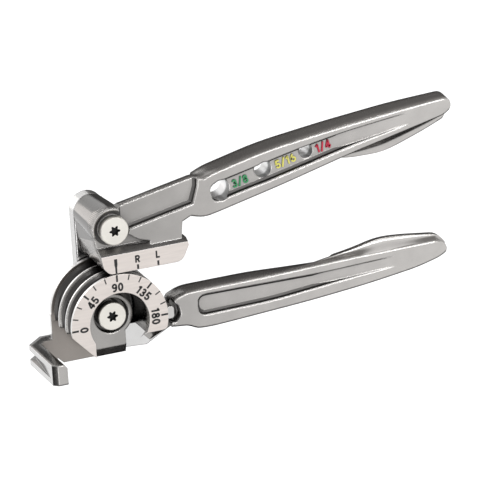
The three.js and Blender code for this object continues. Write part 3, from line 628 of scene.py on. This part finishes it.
# Characters as strokes, for a height of 1: the width, then each stroke's points and whether it closes
GLYPHS = {
    "0": (0.62, [(oval(0.31, 0.5, 0.22, 0.41), True)]),
    "1": (0.46, [([(0.30, 0.0), (0.30, 1.0)], False), ([(0.05, 0.74), (0.28, 0.91)], False)]),
    "3": (0.62, [
        (arc(0.30, 0.70, 0.19, 0.21, 165, -90) + arc(0.30, 0.295, 0.22, 0.205, 90, -165), False),
    ]),
    "4": (0.66, [
        ([(0.02, 0.27), (0.66, 0.27)], False),
        ([(0.08, 0.28), (0.42, 0.93)], False),
        ([(0.46, 0.0), (0.46, 1.0)], False),
    ]),
    "5": (0.62, [
        ([(0.55, 0.91), (0.17, 0.91), (0.12, 0.52)] + arc(0.30, 0.32, 0.22, 0.23, 120, -165), False),
    ]),
    "6": (0.62, [(oval(0.31, 0.33, 0.23, 0.25), True), (arc(0.46, 0.33, 0.38, 0.62, 180, 105), False)]),
    "8": (0.62, [(oval(0.31, 0.72, 0.18, 0.19), True), (oval(0.31, 0.30, 0.22, 0.21), True)]),
    "9": (0.62, [(oval(0.31, 0.69, 0.22, 0.22), True), (arc(0.28, 0.55, 0.25, 0.46, 10, -125), False)]),
    "/": (0.46, [([(0.03, -0.04), (0.43, 1.04)], False)]),
    "R": (0.66, [
        ([(0.10, 0.0), (0.10, 1.0)], False),
        ([(0.10, 0.91), (0.36, 0.91)] + arc(0.36, 0.70, 0.2, 0.21, 90, -90, 8)[1:] + [(0.10, 0.49)], False),
        ([(0.32, 0.49), (0.58, 0.0)], False),
    ]),
    "L": (0.56, [([(0.10, 1.0), (0.10, 0.09), (0.54, 0.09)], False)]),
}
LETTER_GAP = 0.13
STROKE_WEIGHT = 0.23
SHARPEST_MITRE = 0.6


def stroke_sides(points, half, closed):
    """The left and right edge of a stroke, mitred at its corners."""
    count = len(points)
    pairs = []
    for i, point in enumerate(points):
        here = Vector(point)
        before = Vector(points[i - 1]) if closed or i > 0 else None
        after = Vector(points[(i + 1) % count]) if closed or i < count - 1 else None
        first = (here - before).normalized() if before else (after - here).normalized()
        second = (after - here).normalized() if after else first
        along = (first + second).normalized()
        across = Vector((-along.y, along.x))
        reach = half / max(SHARPEST_MITRE, across.dot(Vector((-first.y, first.x))))
        pairs.append((here + across * reach, here - across * reach))
    return pairs


def stroke_faces(base, count, closed):
    """Faces along a stroke whose cross-sections have four vertices each, the first of them at base."""
    faces = []
    for i in range(count if closed else count - 1):
        a, b = base + 4 * i, base + 4 * ((i + 1) % count)
        faces += [(a + 1, a + 3, b + 3, b + 1), (a, b, b + 2, a + 2)]
        faces += [(a, a + 1, b + 1, b), (a + 2, b + 2, b + 3, a + 3)]
    if not closed:
        last = base + 4 * (count - 1)
        faces += [(base, base + 2, base + 3, base + 1), (last, last + 1, last + 3, last + 2)]
    return faces


def lettering(name, text, size, place, turn, material, body, weight=STROKE_WEIGHT, raised=LETTER_HEIGHT):
    """Numbers or letters that stand a little above a face, centred on place."""
    widths = [GLYPHS[letter][0] for letter in text]
    start = -(sum(widths) + LETTER_GAP * (len(text) - 1)) / 2
    vertices, faces = [], []
    for letter, width in zip(text, widths):
        for points, closed in GLYPHS[letter][1]:
            pairs = stroke_sides(points, weight / 2, closed)
            faces += stroke_faces(len(vertices), len(pairs), closed)
            for sides in pairs:
                for side in sides:
                    x, y = (start + side.x) * size, (side.y - 0.5) * size
                    vertices += [(x, y, -MARK_SUNK), (x, y, raised)]
        start += width + LETTER_GAP
    piece = closed_piece(name, vertices, faces, material)
    piece.matrix_world = Matrix.Translation(Vector(place) * MM) @ Matrix.Rotation(turn, 4, "Z")
    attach(piece, body)


def dial_marks():
    """A tick at every step, longer where a number stands inside it."""
    for degrees in range(0, DIAL_SPAN + 1, TICK_STEP):
        angle = math.radians(DIAL_SPAN - degrees)
        numbered = degrees % NUMBER_STEP == 0
        start = LONG_TICK_START if numbered else TICK_START
        half = LONG_TICK_HALF if numbered else TICK_HALF
        turn = Matrix.Rotation(angle, 2)
        outline = [(start, -half), (TICK_END, -half), (TICK_END, half), (start, half)]
        line_mark(f"dial_tick_{degrees}", [tuple(turn @ Vector(point)) for point in outline], WHEEL_BODY)
        if numbered:
            place = (NUMBER_RADIUS * math.cos(angle), NUMBER_RADIUS * math.sin(angle), DIAL_Z)
            upright = angle - math.pi / 2
            lettering(f"dial_number_{degrees}", str(degrees), NUMBER_SIZE, place, upright, BLACK, WHEEL_BODY)


def shoe_marks():
    """The thick 0 line and the R and L marks."""
    line_mark("shoe_zero_mark", ZERO_MARK, SHOE_BODY)
    low, high = SHOE_TICK_Y
    for name, (x, y) in SHOE_LETTERS.items():
        left, right = x - SHOE_TICK_HALF, x + SHOE_TICK_HALF
        line_mark(f"shoe_tick_{name}", [(left, low), (right, low), (right, high), (left, high)], SHOE_BODY)
        lettering(f"shoe_letter_{name}", name, SHOE_LETTER_SIZE, (x, y, DIAL_Z), 0.0, BLACK, SHOE_BODY)


def size_marks():
    """Raised, painted tube sizes beside the gauge holes."""
    for name, text, (x, y), material in TUBE_SIZES:
        lettering(
            f"size_{name}", text, TUBE_SIZE_HEIGHT, (x, y, TUBE_SIZE_Z), TUBE_SIZE_SLOPE,
            material, SHOE_BODY, weight=TUBE_SIZE_WEIGHT, raised=RAISED_HEIGHT,
        )


dial_marks()
shoe_marks()
size_marks()


# Finger webs

# Each station of a slope: x, the y where it leaves the grip's face, and the y where it meets the web
LOWER_STATIONS = [
    (84.0, 6.8, 7.4), (94.0, 7.0, 7.8), (100.0, 7.1, 8.4), (106.0, 7.3, 9.35),
    (113.0, 7.4, 10.3), (120.0, 7.4, 11.2), (127.0, 7.3, 12.8), (133.5, 7.1, 13.8),
    (144.0, 6.9, 13.1), (155.0, 7.0, 11.7), (161.5, 7.4, 10.4),
]
UPPER_STATIONS = [
    (110.0, 58.7, 57.6), (116.0, 60.1, 56.8), (122.0, 61.5, 55.7),
    (130.0, 63.2, 55.4), (137.0, 64.7, 55.5), (144.0, 66.3, 57.1),
    (152.0, 68.0, 59.8), (160.0, 69.8, 62.6), (166.5, 71.2, 65.2),
]
STEPS_ALONG = 6
STEPS_ACROSS = 10
BLEND_SUNK = 0.03
BLEND_DEPTH = 1.0
BLEND_SHARP = math.radians(35.0)


def smooth_row(row, steps):
    """Points between the given ones, on a curve through all of them."""
    dense = []
    for i in range(len(row) - 1):
        corners = row[max(i - 1, 0)], row[i], row[i + 1], row[min(i + 2, len(row) - 1)]
        for k in range(steps):
            t = k / steps
            dense.append(tuple(curve_value(t, *values) for values in zip(*corners)))
    return dense + [row[-1]]


def curve_value(t, a, b, c, d):
    """A value a share t of the way from b to c, on the curve through a, b, c and d."""
    bend = 2 * a - 5 * b + 4 * c - d
    twist = 3 * b - a - 3 * c + d
    return 0.5 * (2 * b + (c - a) * t + bend * t * t + twist * t ** 3)


def round_fall(share):
    """How much of the height is left: it starts and ends level."""
    return 1 - share * share * (3 - 2 * share)


def hollow_fall(share):
    """How much of the height is left: it starts steep and ends level."""
    return (1 - share) ** 3


def web_blend(name, body, stations, face_z, web_z, fall):
    """The hollow slope from a grip's front face down to its finger web."""
    top, bottom = face_z - BLEND_SUNK, web_z + BLEND_SUNK
    shares = [i / STEPS_ACROSS for i in range(STEPS_ACROSS + 1)]
    rows = []
    for x, y_face, y_web in smooth_row(stations, STEPS_ALONG):
        slope = [(x, y_face + (y_web - y_face) * s, bottom + (top - bottom) * fall(s)) for s in shares]
        rows.append(slope + [(x, y_web, bottom - BLEND_DEPTH), (x, y_face, bottom - BLEND_DEPTH)])
    width = len(rows[0])
    faces = []
    for r in range(len(rows) - 1):
        for k in range(width):
            a, b = r * width + k, r * width + (k + 1) % width
            faces.append((a, b, b + width, a + width))
    faces.append(tuple(range(width))[::-1])
    faces.append(tuple(range((len(rows) - 1) * width, len(rows) * width)))
    piece = closed_piece(name, [corner for row in rows for corner in row], faces, BLEND)
    _, first_face, first_web = stations[0]
    if first_face < first_web:
        piece.data.flip_normals()
    piece.data.shade_smooth()
    piece.data.set_sharp_from_angle(angle=BLEND_SHARP)
    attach(piece, body)


web_blend("lower_web_blend", LOWER_BODY, LOWER_STATIONS, LOWER_Z, LOWER_WEB_Z, round_fall)
web_blend("upper_web_blend", SHOE_BODY, UPPER_STATIONS, GRIP_Z, UPPER_WEB_Z, hollow_fall)


# Studio, in metres

WHITE = (1.0, 1.0, 1.0)
CARD_WHITE = (1.0, 0.97, 0.95)
FLOOR_ALBEDO = 0.85
FLOOR_GLOW = 0.45
FLOOR_Z = -0.15
FLOOR_REACH = 6.0
WORLD_LIGHT = 0.7
LAMP_TARGET = (0.06, 0.03, 0.02)


def glowing(tree, kind, strength, colour=WHITE):
    made = node(tree, kind)
    made.inputs["Color"].default_value = (*colour, 1.0)
    made.inputs["Strength"].default_value = strength
    return made


def any_ray(tree, *kinds):
    """1 for rays of one of these kinds."""
    path = node(tree, "ShaderNodeLightPath")
    seen = path.outputs[kinds[0]]
    for kind in kinds[1:]:
        seen = math_node(tree, "MAXIMUM", seen, path.outputs[kind])
    return seen


def mixed_surface(tree, output, factor, first, second):
    """The first shader where the factor is 0, and the second where it is 1."""
    mixed = node(tree, "ShaderNodeMixShader")
    link(tree, factor, mixed.inputs["Fac"])
    link(tree, first.outputs[0], mixed.inputs[1])
    link(tree, second.outputs[0], mixed.inputs[2])
    link(tree, mixed.outputs["Shader"], output.inputs["Surface"])


def studio_world():
    """White where it is seen, and a plain white light for the rest."""
    world = bpy.data.worlds.new("studio")
    bpy.context.scene.world = world
    world.use_nodes = True
    tree = world.node_tree
    tree.nodes.clear()
    output = node(tree, "ShaderNodeOutputWorld")
    lighting = glowing(tree, "ShaderNodeBackground", WORLD_LIGHT)
    white = glowing(tree, "ShaderNodeBackground", 1.0)
    seen = any_ray(tree, "Is Camera Ray", "Is Glossy Ray", "Is Transmission Ray")
    mixed_surface(tree, output, seen, lighting, white)


def studio_floor():
    """A white floor well below the tool. It keeps the tool's shadow, and metal sees it white."""
    material, tree, output = new_material("floor_white")
    diffuse = node(tree, "ShaderNodeBsdfDiffuse")
    diffuse.inputs["Color"].default_value = (FLOOR_ALBEDO, FLOOR_ALBEDO, FLOOR_ALBEDO, 1.0)
    glow = glowing(tree, "ShaderNodeEmission", FLOOR_GLOW)
    shadowed = node(tree, "ShaderNodeAddShader")
    link(tree, diffuse.outputs["BSDF"], shadowed.inputs[0])
    link(tree, glow.outputs["Emission"], shadowed.inputs[1])
    white = glowing(tree, "ShaderNodeEmission", 1.0)
    reflected = any_ray(tree, "Is Glossy Ray", "Is Transmission Ray")
    mixed_surface(tree, output, reflected, shadowed, white)
    signs = [(-1, -1), (1, -1), (1, 1), (-1, 1)]
    stage_plane("floor", [(x * FLOOR_REACH, y * FLOOR_REACH, FLOOR_Z) for x, y in signs], material)


def stage_plane(name, corners, material):
    mesh = bpy.data.meshes.new(name)
    mesh.from_pydata(corners, [], [(0, 1, 2, 3)])
    mesh.materials.append(material)
    plane = bpy.data.objects.new(name, mesh)
    bpy.context.scene.collection.objects.link(plane)
    return plane


def card(name, corners, near_tone, far_tone=None):
    """A photographer's card beside the tool: metal sees it, and it stays out of the picture.

    Its tone runs from the first two corners to the last two.
    """
    material, tree, output = new_material(name)
    glow = glowing(tree, "ShaderNodeEmission", near_tone, CARD_WHITE)
    if far_tone is not None:
        ends = (corners[0][1], corners[2][1])
        tone = remap(tree, object_place(tree, "Y"), ends, (near_tone, far_tone))
        link(tree, tone, glow.inputs["Strength"])
    link(tree, glow.outputs["Emission"], output.inputs["Surface"])
    plane = stage_plane(name, corners, material)
    plane.visible_camera = False
    plane.visible_diffuse = False
    plane.visible_shadow = False


def flat_card(name, z, low, high, near_tone, far_tone=None):
    (x0, y0), (x1, y1) = low, high
    card(name, [(x0, y0, z), (x1, y0, z), (x1, y1, z), (x0, y1, z)], near_tone, far_tone)


def standing_card(name, y, low, high, tone):
    (x0, z0), (x1, z1) = low, high
    card(name, [(x0, y, z0), (x1, y, z0), (x1, y, z1), (x0, y, z1)], tone)


def side_card(name, x, low, high, tone):
    (y0, z0), (y1, z1) = low, high
    card(name, [(x, y0, z0), (x, y1, z0), (x, y1, z1), (x, y0, z1)], tone)


def area_light(name, place, size, power):
    light = bpy.data.lights.new(name, "AREA")
    light.shape = "RECTANGLE"
    light.size, light.size_y = size
    light.energy = power
    lamp = bpy.data.objects.new(name, light)
    lamp.location = place
    direction = Vector(LAMP_TARGET) - Vector(place)
    lamp.rotation_euler = direction.to_track_quat("-Z", "Y").to_euler()
    bpy.context.scene.collection.objects.link(lamp)


def camera():
    """The photo's viewpoint, from the fitted turns and shift."""
    turns = Matrix.Identity(3)
    for angle, axis in zip(CAMERA_TURNS, ("Z", "X", "Y")):
        turns = turns @ Matrix.Rotation(angle, 3, axis)
    place = -(turns.transposed() @ Vector(CAMERA_SHIFT)) + Vector((0.0, 0.0, DIAL_Z))
    lens = bpy.data.cameras.new("photo_camera")
    lens.sensor_width = SENSOR_MM
    lens.lens = FOCAL_PIXELS / FRAME_PIXELS * SENSOR_MM
    lens.clip_end = 50.0
    viewer = bpy.data.objects.new("photo_camera", lens)
    viewer.matrix_world = Matrix.Translation(place * MM) @ turns.transposed().to_4x4()
    bpy.context.scene.collection.objects.link(viewer)
    bpy.context.scene.camera = viewer


studio_world()
studio_floor()
flat_card("card_below", z=-0.145, low=(0.055, -0.03), high=(0.48, 0.56), near_tone=0.03, far_tone=0.45)
flat_card("card_hook", z=-0.144, low=(-0.02, 0.035), high=(0.055, 0.1), near_tone=0.03)
flat_card("card_front", z=-0.112, low=(-0.03, -0.54), high=(0.6, -0.05), near_tone=0.03)
standing_card("card_far", y=0.55, low=(-0.3, -0.14), high=(0.9, 0.32), tone=0.28)
standing_card("card_near", y=-0.55, low=(-0.3, -0.14), high=(0.9, 0.42), tone=0.03)
side_card("card_left", x=-0.6, low=(-0.5, -0.1), high=(0.1, 0.3), tone=0.04)
flat_card("strip_left", z=-0.1, low=(-0.14, 0.03), high=(-0.04, 0.22), near_tone=2.2)
area_light("key", place=(0.45, 0.68, 1.5), size=(1.1, 0.22), power=6.0)
area_light("fill", place=(-0.9, -0.4, 1.2), size=(0.8, 0.8), power=3.0)
camera()
bpy.context.scene.view_settings.view_transform = "Standard"

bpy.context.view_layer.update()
